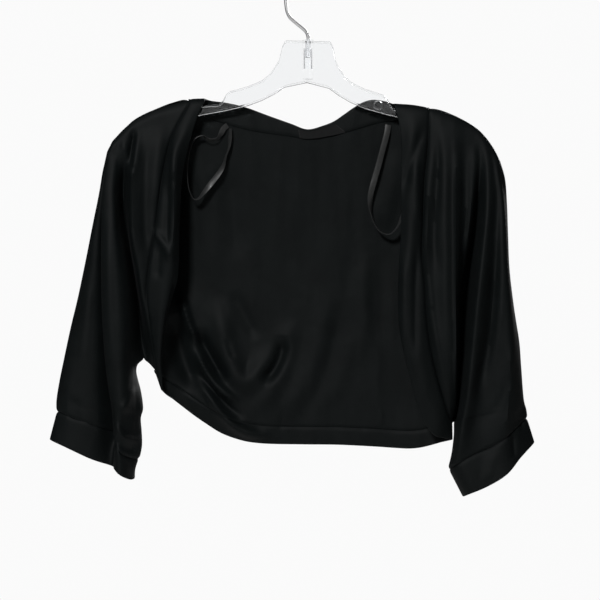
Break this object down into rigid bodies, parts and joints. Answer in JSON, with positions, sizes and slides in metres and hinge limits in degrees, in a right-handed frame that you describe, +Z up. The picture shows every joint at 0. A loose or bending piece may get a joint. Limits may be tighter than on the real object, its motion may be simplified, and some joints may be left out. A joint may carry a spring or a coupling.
{
  "type": "bolero on a clothes hanger",
  "caption": "Cropped open-front bolero in black jersey with three-quarter sleeves and folded bands, hanging on a clear moulded clothes hanger with a wire hook.",
  "frame": {"origin": "point inside the top of the hanger's hook that bears on the rail", "axes": "+Z up; -Y towards the viewer, the side of the garment's open front; +X to the viewer's right"},
  "size_m": [0.5244, 0.0682, 0.5728],
  "materials": {
    "black_jersey": "fine viscose jersey, soft matte with a faint sheen on the folds",
    "black_satin": "satin ribbon",
    "dark_woven_label": "woven satin label, bare",
    "clear_plastic": "clear injection-moulded styrene, polished",
    "plated_steel": "bright plated wire"
  },
  "bodies": {
    "root": {"back_with_sleeves": "black_jersey", "front_left_with_sleeve": "black_jersey", "front_right_with_sleeve": "black_jersey", "cuff_left": "black_jersey", "cuff_right": "black_jersey", "front_band_left": "black_jersey", "front_band_right": "black_jersey", "neck_band": "black_jersey", "hem_band": "black_jersey", "neck_label": "dark_woven_label", "hanger_loop_left": "black_satin", "hanger_loop_right": "black_satin", "hanger_body": "clear_plastic", "hanger_hook": "plated_steel"}
  },
  "joints": []
}
